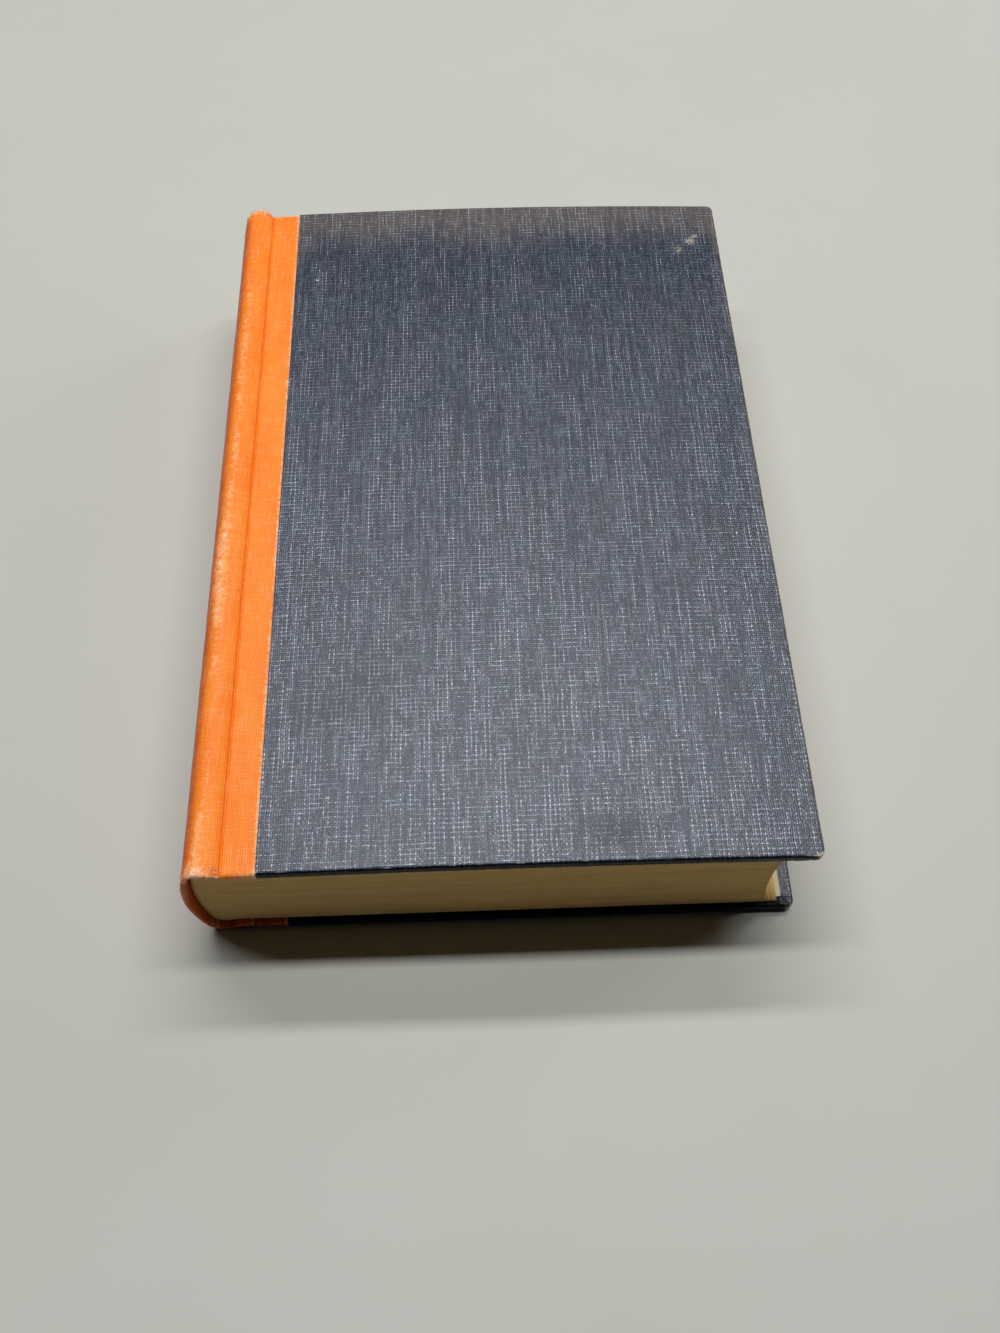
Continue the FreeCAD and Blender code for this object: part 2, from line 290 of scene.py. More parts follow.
sideLinen = {"pitch": (0.56, 0.6), "wander": 0.8, "relief": 0.045, "slubLength": 8.0,
             "oddThread": 0.22, "specularTint": (0.9, 0.94, 1.0, 1.0),
             "blue": colour(26, 41, 65), "violet": colour(34, 38, 57), "green": colour(25, 45, 61),
             "pale": colour(176, 183, 200), "deep": colour(6, 8, 13), "faded": colour(88, 77, 69),
             "grease": colour(44, 46, 50), "worn": colour(208, 198, 180)}


def sideLinenMaterial():
    kind = sideLinen
    material, shader = newMaterial("side_linen", 0.5, sheen=0.03, sheenRoughness=0.5)
    flat = named("flat", "Vector")
    weave = plainWeave(flat, kind["pitch"], kind["wander"])
    # Dye that took unevenly, in soft patches
    dye = grain(stretched(flat, (0.1, 0.04, 1.0)), 1.0, 4.0, 0.65)
    tint = grain(stretched(flat, (0.14, 0.06, 1.0)), 1.0, 3.0, 0.6)
    base = mixColour(between(dye, 0.42, 0.66, 0.0, 0.8), kind["blue"], kind["violet"])
    base = mixColour(between(tint, 0.5, 0.68, 0.0, 0.7), base, kind["green"])
    base = mixColour(times(named("fade"), 0.92), base, kind["faded"])
    # Each thread is thick and pale here, thin and dark there
    slubs = alongThreads(weave, 0, kind["slubLength"])
    cross = alongThreads(weave, 1, kind["slubLength"])
    whole = alongThreads(weave, 0, 6 * kind["slubLength"], 1.0)
    fibres = grain(weave["counted"], 0.9)
    slubs = scaled(whole, 0.55, times(slubs, 0.6))
    warpLight = times(between(slubs, 0.47, 0.74), between(fibres, 0.35, 0.62, 0.2, 1.0))
    # Every second thread is paler
    evens = [between(pair, -0.8, 0.8, kind["oddThread"], 1.0) for pair in weave["pairs"]]
    warpLight = times(times(warpLight, evens[0]), between(weave["warp"], 0.05, 0.7, 0.2, 1.0))
    weftHump = times(between(weave["weft"], 0.1, 0.7, 0.05, 1.0), evens[1])
    weftLight = times(between(cross, 0.42, 0.74, 0.05, 0.5), weftHump)
    light = calc("MAXIMUM", warpLight, weftLight)
    soil = named("soil")
    base = mixColour(times(light, scaled(soil, -0.45, 0.74)), base, kind["pale"])
    thin = times(between(slubs, 0.44, 0.64, 0.6, 0.0), between(weave["warp"], 0.1, 0.6))
    # Painted shade in the hollows between threads, together with the thin threads' darker colour
    hollowShadeAndThin = calc("MAXIMUM", between(weave["height"], 0.2, 0.62, 0.9, 0.0), thin)
    hollowShadeAndThin = times(hollowShadeAndThin, scaled(named("fade"), -0.45, 1.0))
    base = mixColour(hollowShadeAndThin, base, kind["deep"])
    base = mixColour(times(soil, 0.75), base, kind["grease"])
    wear = calc("ADD", named("wear"), scaled(fibres, 0.9, -0.62))
    wear = times(between(wear, 0.3, 0.8), between(weave["height"], 0.1, 0.6, 0.4, 1.0))
    base = mixColour(wear, base, kind["worn"])
    # Painted shade on the tail edge, which also takes its shine away
    tailShadeMask = between(scaled(fibres, 0.7, named("paintedTailShade")), 0.5, 0.85)
    base = mixColour(tailShadeMask, base, kind["deep"])
    rough = scaled(soil, 0.14, between(light, 0.0, 0.4, 0.31, 0.23))
    # Polished threads shine, the gaps between them hardly do
    polish = times(between(light, 0.0, 0.4, 0.45, 0.95), scaled(tailShadeMask, -0.85, 1.0))
    link(polish, shader.inputs["Specular IOR Level"])
    shader.inputs["Specular Tint"].default_value = kind["specularTint"]
    link(scaled(named("fade"), 0.1, rough), shader.inputs["Roughness"])
    dress(shader, base, scaled(light, 0.5, weave["height"]), kind["relief"])
    return material


# edge is the colour of painted shade on the spine cloth, and shadowRed that of the painted shadow on the
# lower strip
spineLinen = {"pitch": (0.58, 0.58), "wander": 0.5, "relief": 0.036, "slubLength": 10.0,
              "orange": colour(250, 130, 18), "bright": colour(252, 144, 32), "deep": colour(224, 90, 6),
              "rubbed": colour(255, 176, 112), "bare": colour(252, 222, 192), "edge": colour(200, 86, 16),
              "shadowRed": colour(130, 44, 16)}


def spineLinenMaterial():
    kind = spineLinen
    material, shader = newMaterial("spine_linen", 0.52, 0.25, sheen=0.03, sheenRoughness=0.4)
    flat = named("flat", "Vector")
    weave = plainWeave(flat, kind["pitch"], kind["wander"])
    patches = grain(stretched(flat, (0.12, 0.04, 1.0)), 1.0, 3.0, 0.6)
    base = mixColour(between(patches, 0.35, 0.65), kind["orange"], kind["bright"])
    dark = named("dark")
    # Up to 1 it is painted shade, and from 1 to 2 the painted shadow on the lower strip
    base = mixColour(between(dark, 0.0, 1.0), base, kind["edge"])
    base = mixColour(between(dark, 1.0, 2.0), base, kind["shadowRed"])
    for way, threads, share in ((0, "warp", 0.6), (1, "weft", 0.45)):
        slubs = between(alongThreads(weave, way, kind["slubLength"]), 0.45, 0.75, 0.0, share)
        hump = between(weave[threads], 0.1, 0.7, 0.2, 1.0)
        base = mixColour(times(slubs, hump), base, kind["rubbed"])
    # Painted shade in the hollows of the weave
    base = mixColour(between(weave["height"], 0.15, 0.6, 0.6, 0.0), base, kind["deep"])
    # Rubbed places break up along the threads
    threads = grain(weave["counted"], 0.85, 3.0, 0.7)
    clouds = grain(flat, 0.22, 4.0, 0.65)
    blots = grain(flat, 0.7, 3.0, 0.65)
    rough = scaled(blots, 1.3, scaled(threads, 0.7, times(clouds, 0.5)))
    worn = calc("ADD", named("wear"), calc("SUBTRACT", rough, 1.25))
    crests = between(weave["height"], 0.1, 0.6, 0.4, 1.0)
    # The wear here also carries the painted highlight along the front shoulder
    base = mixColour(times(between(worn, 0.22, 0.62), crests), base, kind["rubbed"])
    base = mixColour(times(between(worn, 0.62, 0.95), crests), base, kind["bare"])
    dress(shader, base, scaled(threads, 0.5, weave["height"]), kind["relief"])
    return material


leafPaper = {"cream": colour(234, 198, 130), "aged": colour(208, 162, 98), "shadow": colour(150, 106, 58),
             "relief": 0.08}


def leavesMaterial():
    kind = leafPaper
    material, shader = newMaterial("leaves", 0.85, 0.25)
    # Across, flat counts the leaves, and along them it runs in mm
    flat = named("flat", "Vector")
    edges = grain(stretched(flat, (1.6, 0.012, 1.0)), 1.0, 3.0, 0.7)
    bands = grain(stretched(flat, (0.16, 0.012, 1.0)), 1.0, 3.0, 0.7)
    clouds = grain(stretched(flat, (0.02, 0.05, 1.0)), 1.0, 3.0, 0.6)
    base = mixColour(between(bands, 0.35, 0.7, 0.1, 0.6), kind["cream"], kind["aged"])
    base = mixColour(between(clouds, 0.45, 0.75, 0.0, 0.5), base, kind["aged"])
    base = mixColour(between(edges, 0.5, 0.75, 0.0, 0.55), base, kind["shadow"])
    dress(shader, base, edges, kind["relief"])
    return material


# Relief in mm
plainRelief = {"paper": 0.05, "board": 0.12, "thread": 0.05}


def paperMaterial(name, light, dark, fibreScale):
    # Any plain sheet: soft clouds, fine fibres
    material, shader = newMaterial(name, 0.88, 0.25)
    place = ownPlace()
    clouds = grain(place, 45.0, 4.0, 0.6)
    fibres = grain(stretched(place, (1.0, 0.25, 1.0)), fibreScale, 4.0, 0.7)
    base = mixColour(between(clouds, 0.35, 0.7), light, dark)
    base = mixColour(between(fibres, 0.55, 0.75, 0.0, 0.35), base, dark)
    dress(shader, base, fibres, plainRelief["paper"])
    return material


def boardMaterial(name, light, dark, fleck):
    # Pressed board: speckled pulp
    material, shader = newMaterial(name, 0.92)
    place = ownPlace()
    pulp = grain(place, 900.0, 3.0, 0.7)
    specks = put("ShaderNodeTexVoronoi", {"Vector": place, "Scale": 700.0}).outputs["Distance"]
    base = mixColour(between(pulp, 0.35, 0.65), light, dark)
    base = mixColour(between(specks, 0.08, 0.16, 0.6, 0.0), base, fleck)
    dress(shader, base, pulp, plainRelief["board"])
    return material


mullCloth = {"pitch": (1.1, 1.1), "wander": 0.6, "relief": 0.2, "glue": colour(186, 170, 128),
             "cotton": colour(236, 230, 212)}


def mullMaterial():
    # Open muslin stiffened with glue
    kind = mullCloth
    material, shader = newMaterial("mull", 0.8)
    weave = plainWeave(stretched(ownPlace(), [1 / mm] * 3), kind["pitch"], kind["wander"])
    base = mixColour(between(weave["height"], 0.25, 0.6), kind["glue"], kind["cotton"])
    dress(shader, base, weave["height"], kind["relief"])
    return material


def threadMaterial(name, light, dark):
    material, shader = newMaterial(name, 0.8, sheen=0.3)
    twist = grain(ownPlace(), 2500.0)
    base = mixColour(between(twist, 0.35, 0.65), light, dark)
    dress(shader, base, twist, plainRelief["thread"])
    return material


materials = {"side_linen": sideLinenMaterial(), "spine_linen": spineLinenMaterial(),
             "leaves": leavesMaterial(), "mull": mullMaterial()}
# Light and dark tone, then the scale of the fibres
papers = {"endpaper": (colour(230, 220, 194), colour(221, 208, 177), 1500.0),
          "lining_paper": (colour(178, 148, 108), colour(150, 118, 80), 1100.0)}
# Light and dark tone, then the flecks
boards = {"grey_board": (colour(172, 168, 158), colour(142, 138, 128), colour(96, 92, 86)),
          "inlay_card": (colour(178, 172, 156), colour(154, 146, 128), colour(110, 102, 90))}
threads = {"orange_thread": (colour(252, 190, 150), colour(240, 140, 84)),
           "pale_thread": (colour(244, 228, 210), colour(236, 204, 176)),
           "lint": (colour(236, 234, 228), colour(206, 202, 194))}
for kinds, make in ((papers, paperMaterial), (boards, boardMaterial), (threads, threadMaterial)):
    for name, tones in kinds.items():
        materials[name] = make(name, *tones)
print("materials made:", len(materials))


# Side cloths

sideCloth = {"cornerRound": 2.0, "edgeRound": 0.8, "step": 1.0, "waviness": 0.05, "fuzz": 0.03,
             "seed": {"front": 3.0, "back": 41.0}, "headFade": (4.0, 21.0), "foreFade": 2.2,
             "cutEdge": 0.25, "cornerReach": 2.4, "rimWear": {"front": 0.1, "back": 0.42},
             "tailCorner": {"front": 0.85, "back": 0.7}, "headCorner": {"front": 0.2, "back": 0.5}}
# Marks on the covers, in mm: middle and reach, across and along the book, then strength
coverMarks = {
    "front": {"soil": [(-39.8, -66.5, 9.0, 6.0, 0.55), (-30.0, -60.0, 12.0, 11.0, 0.4),
                       (27.4, -101.0, 6.5, 4.2, 0.75), (17.0, -100.0, 5.0, 4.0, 0.4),
                       (58.0, 60.0, 9.0, 14.0, 0.25), (-20.0, -38.0, 9.0, 8.0, 0.25),
                       (8.0, -72.0, 6.0, 14.0, 0.2)],
              "wear": [(65.8, 91.7, 3.4, 2.6, 0.74), (62.0, 88.0, 3.0, 4.5, 0.64),
                       (67.4, 94.0, 1.8, 1.6, 0.8), (-49.0, 78.5, 0.7, 0.9, 0.6),
                       (10.0, 40.0, 0.6, 3.0, 0.25), (48.0, -60.0, 0.7, 2.4, 0.25)]},
    "back": {"soil": [(20.0, 30.0, 16.0, 12.0, 0.35), (-30.0, -50.0, 14.0, 20.0, 0.3)],
             "wear": [(40.0, -70.0, 3.0, 5.0, 0.4), (-10.0, 64.0, 5.0, 2.0, 0.35)]}}
fineSteps = (0.15, 0.3, 0.5, 0.8, 1.2, 1.8, 2.6)
quarterTurn = [k * math.pi / 12 for k in range(7)]


def bowHeight(x, middle, half, rise):
    # A cover bows up along its middle
    radius = (half**2 + rise**2) / (2 * rise)
    return rise - radius + np.sqrt(radius**2 - (x - middle)**2)


def frontFace(x, depth):
    # Height of a layer of the front cover at a depth under its outside
    left = size["frontLipX"] + cloth["thick"]
    half = (size["frontForeX"] - left) / 2
    return size["frontZ"] + bowHeight(x, left + half, half, size["bow"]) - depth


def backFace(x, depth):
    # The back cover lies flat
    return depth + 0 * x


outside = {"front": frontFace, "back": backFace}


def rimProfile(radius, thick, turnIn):
    # Inset and depth of each ring, from the outside round the edge to the end of the turn-in
    rings = [(radius * (1 - math.sin(a)), radius * (1 - math.cos(a))) for a in quarterTurn]
    rings.append((0.0, thick / 2))
    rings += [(radius * (1 - math.cos(a)), thick - radius * (1 - math.sin(a))) for a in quarterTurn]
    return rings + [(radius + 1.5, thick), (radius + 5.0, thick), (turnIn, thick)]


def markHere(side, what, x, y):
    most = 0.0
    for midX, midY, reachX, reachY, strength in coverMarks[side][what]:
        far = ((x - midX) / reachX)**2 + ((y - midY) / reachY)**2
        far *= 1 + 0.5 * ripple((x, y, midX), 5)
        most = max(most, strength * math.exp(-far))
    return most


def makeSideCloth(side):
    kind = sideCloth
    startX = size[side + "ClothX"]
    foreX = size[side + "ForeX"]
    first = kind["edgeRound"]
    xs = spread(startX, foreX - first, kind["step"], (0.15, 0.3, 0.6), fineSteps)
    ys = spread(tailY + first, headY - first, kind["step"], fineSteps, fineSteps)
    gridX, gridY = np.meshgrid(xs, ys)
    rows, columns = gridX.shape
    flatX, flatY = gridX.ravel().copy(), gridY.ravel().copy()
    centre = foreX - kind["cornerRound"]
    reachY = headY - kind["cornerRound"]

    def rounded(x, y, inset):
        # Squares at the fore corners become quarter rounds
        radius = kind["cornerRound"] - inset
        if radius <= 0:
            return np.minimum(x, foreX - inset), np.clip(y, tailY + inset, headY - inset)
        scale = radius / (kind["cornerRound"] - first)
        x = np.where(x > centre, centre + (x - centre) * scale, x)
        y = np.where(abs(y) > reachY, np.sign(y) * (reachY + (abs(y) - reachY) * scale), y)
        dx = np.clip(x - centre, 0, None)
        dy = np.clip(abs(y) - reachY, 0, None)
        far = np.hypot(dx, dy)
        share = np.where((dx > 0) & (dy > 0), np.maximum(dx, dy) / np.where(far > 0, far, 1), 1)
        x = np.where(share < 1, centre + dx * share, x)
        y = np.where(share < 1, np.sign(y) * (reachY + dy * share), y)
        return x, y

    x, y = rounded(flatX, flatY, first)
    points = [np.stack([x, y, np.zeros_like(x)], 1)]
    flats = [np.stack([flatX, flatY, np.zeros_like(x)], 1)]
    faces = gridFaces(rows, columns)
    # The border of the grid, from the spine side along the tail, up the fore edge and back along the head
    tailSide = list(range(columns))
    foreSide = [r * columns + columns - 1 for r in range(1, rows)]
    headSide = [(rows - 1) * columns + c for c in range(columns - 2, -1, -1)]
    border = tailSide + foreSide + headSide
    bx, by = flatX[border], flatY[border]
    outX = np.where(bx >= foreX - first - 1e-6, 1.0, 0.0)
    outY = np.where(abs(by) >= headY - first - 1e-6, np.sign(by), 0.0)
    rings = rimProfile(first, size["coverThick"], cloth["turnIn"])
    travelled = 0.0
    total = len(flatX)
    previous = border
    for k in range(1, len(rings)):
        inset, depth = rings[k]
        before = rings[k - 1]
        travelled += math.hypot(inset - before[0], depth - before[1])
        radius = max(kind["cornerRound"] - inset, 0)
        start = first if radius > 0 else inset
        wantX = np.where(outX > 0, foreX - start, bx)
        wantY = np.where(outY != 0, np.sign(by) * (headY - start), by)
        ringX, ringY = rounded(wantX, wantY, inset)
        if radius > 0:
            ringX = np.where(outX > 0, np.where(abs(by) <= reachY, foreX - inset, ringX), ringX)
            ringY = np.where(outY != 0, np.where(bx <= centre, np.sign(by) * (headY - inset), ringY), ringY)
        points.append(np.stack([ringX, ringY, np.full_like(ringX, depth)], 1))
        flats.append(np.stack([bx + outX * travelled, by + outY * travelled, np.zeros_like(bx)], 1))
        current = list(range(total, total + len(border)))
        for c in range(len(border) - 1):
            faces.append((previous[c], previous[c + 1], current[c + 1], current[c]))
        total += len(border)
        previous = current
    return np.concatenate(points), np.concatenate(flats), faces


def dressSideCloth(side):
    kind = sideCloth
    points, flats, faces = makeSideCloth(side)
    foreX = size[side + "ForeX"]
    seed = kind["seed"][side]
    placed = []
    wear, fade, soil, paintedTailShade = [], [], [], []
    for x, y, depth in points:
        fromFore = max(foreX - x, 0)
        fromTail = y - tailY
        fromHead = headY - y
        wave = kind["waviness"] * ripple((x, y, 0), 26, seed)
        wave += kind["fuzz"] * ripple((x, y, depth), 3.1, seed)
        z = outside[side](x, depth + (0 if depth > 2.9 else -wave * 0.6))
        jitter = 0.22 * abs(ripple((x, y, depth * 3), 2.2, seed + 9))
        nearEdge = min(fromFore, fromTail, fromHead)
        pull = max(1 - nearEdge, 0) * jitter
        placed.append((x - pull * (fromFore < 1), y + pull * (fromTail < 1) - pull * (fromHead < 1), z))
        uneven = 0.5 + ripple((x, y, 0), 9, seed + 2)
        edge = kind["rimWear"][side] * uneven * (0.05 < depth < 2.6)
        edge += 0.5 * kind["rimWear"][side] * bell(nearEdge, 0.8) * uneven
        fromCorner = math.hypot(fromFore, fromTail)
        edge += kind["tailCorner"][side] * bell(fromCorner, kind["cornerReach"])
        edge += kind["headCorner"][side] * bell(math.hypot(fromFore, fromHead), kind["cornerReach"])
        onFace = depth < 1.0
        edge += 0.62 * bell(x - size[side + "ClothX"], kind["cutEdge"]) * onFace
        edge += 0.4 * bell(fromTail - 0.5, 0.6) * onFace * (1 + ripple((x, 0, 0), 3, seed + 4))
        wear.append(edge + onFace * markHere(side, "wear", x, y))
        low, high = kind["headFade"]
        ragged = 4 * ripple((x, y * 0.4, 0), 14, seed + 5) + 4 * ripple((x, y * 0.15, 0), 1.6, seed + 7)
        head = 0.95 * smooth(high, low, fromHead + ragged)
        fore = 0.6 * bell(fromFore, kind["foreFade"]) * (0.8 + 0.5 * ripple((x, y, 0), 25, seed + 6))
        fade.append(min(max(head, 0) + max(fore, 0), 1.0))
        soil.append(onFace * markHere(side, "soil", x, y))
        # Painted shade along the tail edge and its rim, which face away from the lamps; the worn corner is
        # left out
        tailEdge = 0.7 * bell(fromTail, 0.4) + 0.55 * (depth > 0.3) * (fromTail < 3)
        bare = bell(fromCorner, 3.2)
        paintedTailShade.append(tailEdge * (1 + 0.6 * ripple((x, y, depth), 2.5, seed + 3)) * (1 - bare))
    piece = makePiece("side_linen_" + side, placed, faces, "side_linen",
                      {"flat": flats, "wear": wear, "fade": fade, "soil": soil, "paintedTailShade": paintedTailShade})
    tidyMesh(piece)
    return piece


for side in sides:
    piece = dressSideCloth(side)
    thicken(piece, cloth["thick"] * 0.95)
    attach(piece, side + "_cover")
    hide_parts(side + "_side_cloth")
    print("side cloth", side, len(piece.data.polygons))


# Spine cloth

spineCloth = {"spineRadius": 67.4, "shoulderRadius": 4.5, "crownHeight": 17.9, "frontGroove": 0.75,
              "backGroove": 2.2, "lipRound": 0.45, "rootGap": 0.4, "thick": 0.3, "midCover": 1.8,
              "waviness": 0.05, "step": 1.0, "fineSteps": (0.2, 0.5, 1.0, 1.6), "crownAlong": 5.0,
              "headBulge": 0.8, "tailBulge": 0.3, "bulgeReach": 3.2,
              "startAlong": {"front": 100.0, "back": 200.0}}


def spineShape():
    kind = spineCloth
    shape = {"centreX": size["spineX"] + kind["spineRadius"], "centreZ": kind["crownHeight"]}
    reach = kind["spineRadius"] - kind["shoulderRadius"]
    shape["frontZ"] = size["crownZ"] - kind["shoulderRadius"]
    shape["backZ"] = kind["shoulderRadius"]
    for side in sides:
        away = shape[side + "Z"] - kind["crownHeight"]
        shape[side + "X"] = shape["centreX"] - math.sqrt(reach**2 - away**2)
        turn = math.atan2(away, shape[side + "X"] - shape["centreX"])
        shape[side + "Turn"] = turn % (2 * math.pi)
    return shape


spine = spineShape()


def arcPoints(centreX, centreZ, radius, start, end, steps):
    return [(centreX + radius * math.cos(a), centreZ + radius * math.sin(a))
            for a in np.linspace(start, end, steps)]


def jointProfile(side):
    # From under the side cloth over the board's spine edge and down to the root of the groove
    # Each entry is the outer point and the inner point of the turn-in
    kind = spineCloth
    thick = cloth["thick"]
    clothX, lipX = size[side + "ClothX"], size[side + "LipX"]
    rootX = lipX - kind["rootGap"]
    groove = kind[side + "Groove"]
    level = size["frontZ"] - groove if side == "front" else groove
    entries = []
    lipRound = kind["lipRound"]
    for x in spread(clothX + 1.5, lipX + lipRound, 0.5):
        under = thick * smooth(-0.1, 0.3, x - clothX)
        outer = outside[side](x, thick)
        inner = outside[side](x, size["coverThick"] - 1.2 * under)
        entries.append(((x, outer), (x, inner)))
    # Over the board's edge in an S
    top, inside = entries[-1][0][1], entries[-1][1][1]
    foldIn = level - upward[side] * 2 * thick
    for t in np.linspace(0, 1, 14)[1:]:
        x = lipX + lipRound + (rootX - lipX - lipRound) * t
        entries.append(((x, top + (level - top) * smooth(0, 1, t)),
                        (x, inside + (foldIn - inside) * smooth(0.2, 1, t))))
    return entries


def roundProfile():
    # From the root of the front groove round the spine to the root of the back groove
    kind = spineCloth
    small = kind["shoulderRadius"]
    thick = cloth["thick"]
    fold = 2 * thick + cloth["inlay"]
    outer = []
    frontLevel = size["frontZ"] - kind["frontGroove"]
    backLevel = kind["backGroove"]
    backFoot = 2 * math.pi - math.asin((spine["backZ"] - backLevel) / small)
    # The front groove is shallow, and the shoulder rises gently from it to its crown
    rootX = size["frontLipX"] - kind["rootGap"]
    for t in np.linspace(0, 1, 22)**1.4:
        outer.append((rootX + (spine["frontX"] - rootX) * t,
                      frontLevel + (size["crownZ"] - frontLevel) * math.sin(t * math.pi / 2)**0.6))
    crown = len(outer)
    outer += arcPoints(spine["frontX"], spine["frontZ"], small, math.pi / 2, spine["frontTurn"], 12)[1:]
    outer += arcPoints(spine["centreX"], spine["centreZ"], kind["spineRadius"], spine["frontTurn"],
                       spine["backTurn"], 38)[1:]
    outer += arcPoints(spine["backX"], spine["backZ"], small, spine["backTurn"], 3 * math.pi / 2, 12)[1:]
    lastCrown = len(outer)
    outer += arcPoints(spine["backX"], spine["backZ"], small, 3 * math.pi / 2, backFoot, 14)[1:]
    endX = size["backLipX"] - kind["rootGap"]
    outer += [(x, backLevel) for x in np.linspace(outer[-1][0], endX, 8)[1:]]
    entries = []
    for k, (x, z) in enumerate(outer):
        along = np.array(outer[min(k + 1, len(outer) - 1)]) - np.array(outer[max(k - 1, 0)])
        normal = np.array([-along[1], along[0]]) / np.hypot(*along)
        if k == 0:
            normal = np.array([0.0, -1.0])
        if k == len(outer) - 1:
            normal = np.array([0.0, 1.0])
        away = min(max(crown - 8 - k, 0), 6) / 6 + min(max(k - lastCrown - 3, 0), 3) / 3
        deep = fold + (2 * thick - fold) * min(away, 1)
        entries.append(((x, z), tuple(np.array([x, z]) + normal * deep)))
    return entries


def wrapEnds(entries):
    # The cloth along the book, folded over at the tail and the head and turned in
    # A step is a share of the way inward and a place along the book, what each gains with the fold's
    # radius, and the place along the flat cloth
    kind = spineCloth
    turn = cloth["turnIn"]
    rows = []
    for edge, inward in ((tailY, 1), (headY, -1)):
        insideYs = [edge + inward * (turn - k * (turn - 1.0) / 4) for k in range(5)]
        path = [(1, 0, y, 0, 2 * edge - y) for y in insideYs]
        path += [(1, math.cos(a) - 1, edge, inward * (1 - math.sin(a)), edge - inward * (1.6 - a * 0.4))
                 for a in quarterTurn]
        path.append((0.5, 0, edge, 0, edge - inward * 0.5))
        path += [(0, 1 - math.sin(a), edge, inward * (1 - math.cos(a)), edge - inward * (0.6 - a * 0.4))
                 for a in quarterTurn]
        rows.append(path)
    ys = spread(tailY + 0.8, headY - 0.8, kind["step"], kind["fineSteps"], kind["fineSteps"])
    steps = rows[0] + [(0, 0, y, 0, y) for y in ys] + rows[1][::-1]
    points, flats = [], []
    along = [0.0]
    for before, after in zip(entries, entries[1:]):
        along.append(along[-1] + math.hypot(after[0][0] - before[0][0], after[0][1] - before[0][1]))
    for share, moreShare, y, moreY, v in steps:
        for (outer, inner), u in zip(entries, along):
            outer, inner = np.array(outer), np.array(inner)
            thick = np.hypot(*(inner - outer))
            radius = min(0.8, thick * 0.45)
            place = outer + (inner - outer) * (share + moreShare * radius / thick)
            points.append((place[0], y + moreY * radius, place[1]))
            flats.append((u, v, 0))
    return np.array(points), np.array(flats), len(steps), len(entries)


def dressSpineCloth(name, entries, startU, side=None):
    # side is the cover of a strip, or None for the cloth round the spine itself
    kind = spineCloth
    points, flats, rows, columns = wrapEnds(entries)
    whole = flats[:, 0].max()
    crownU = kind["crownAlong"]
    wear, dark = [], []
    placed = []
    for (x, y, z), u in zip(points, flats[:, 0]):
        fromEnd = min(y - tailY, headY - y)
        patch = ripple((x, y, z), 7, 5.0)
        drift = ripple((0, y, 0), 48, 4.0)
        if side is None:
            wave = kind["waviness"] * (1.6 * ripple((x, y, z), 12, 2.0) + 0.8 * ripple((x, y, z), 4, 3.0))
            wave *= smooth(0.0, 2.0, u) * smooth(whole, whole - 2.0, u)
            toCentre = np.array([spine["centreX"] - x, spine["centreZ"] - z])
            crumple = 0.4 * max(ripple((x, y, z), 2.3, 31.0), -0.15)
            crumple += 0.25 * max(ripple((x, y, z), 1.1, 12.0), -0.1)
            wave -= crumple * bell(fromEnd, 3.5) * smooth(1.0, 3.0, u) * smooth(20.0, 12.0, u)
            x, z = np.array([x, z]) + toCentre / np.hypot(*toCentre) * wave
            swell = bell(u - crownU, kind["bulgeReach"]) + 0.35
            swell *= smooth(0.3, 3.5, u) * smooth(whole - 0.3, whole - 3.5, u)
            y += bell(fromEnd, 2.6) * swell * (kind["headBulge"] if y > 0 else -kind["tailBulge"])
            reach = 1.5 + 1.2 * max(drift, 0)
            # Partly rubbed wear and partly a painted highlight along the front shoulder
            wearAndHighlight = 0.54 * bell(u - crownU - 0.8 - 0.9 * drift, reach) * (0.8 + 0.7 * drift + 0.5 * patch)
            rub = wearAndHighlight * smooth(headY - 8.0, headY - 38.0, y)
            rub += 0.35 * bell(u - whole + 12.0, 2.0)
            rub += 0.08 * (u > 8)
            top = 0.25 + 0.75 * smooth(13.0, 8.0, u)
            rub += bell(fromEnd, 2.4) * (0.66 + 0.8 * patch) * smooth(1.0, 4.0, u) * top
            # Painted shade past the crown where the spine turns away, and a painted dark line at the groove
            shade = smooth(crownU + 1.0, crownU + 4.5, u) + 0.22 * bell(u, 0.6)
        else:
            fromCut = size[side + "ClothX"] - x
            streaky = ripple((x * 2.0, y * 0.5, z * 2.0), 5, 8.0)
            y = np.sign(y) * min(abs(y), headY - 0.5 * smooth(0.2, -0.3, fromCut))
            rub = 0.95 * bell(fromCut, 0.75) * (0.85 + 0.5 * streaky)
            rub += 0.4 * (side == "front") * bell(fromEnd, 1.2) * (0.8 + 0.8 * patch)
            # Painted shade at the groove beside the lip; the back strip gets painted shadow
            shade = 0.25 * bell(x - size[side + "LipX"], 0.6) + 1.8 * (side == "back")
        placed.append((x, y, max(z, 0.02)))
        wear.append(rub)
        dark.append(shade)
    flats[:, 0] += startU
    piece = makePiece(name, placed, gridFaces(rows, columns), "spine_linen",
                      {"flat": flats, "wear": wear, "dark": dark})
    tidyMesh(piece, 0.0005)
    return piece


def lookOutward(piece, centre):
    # An open sheet has no inside, so its faces are turned away from a point
    middle = Vector(centre) * mm
    if sum(face.normal.dot(face.center - middle) * face.area for face in piece.data.polygons) < 0:
        piece.data.flip_normals()


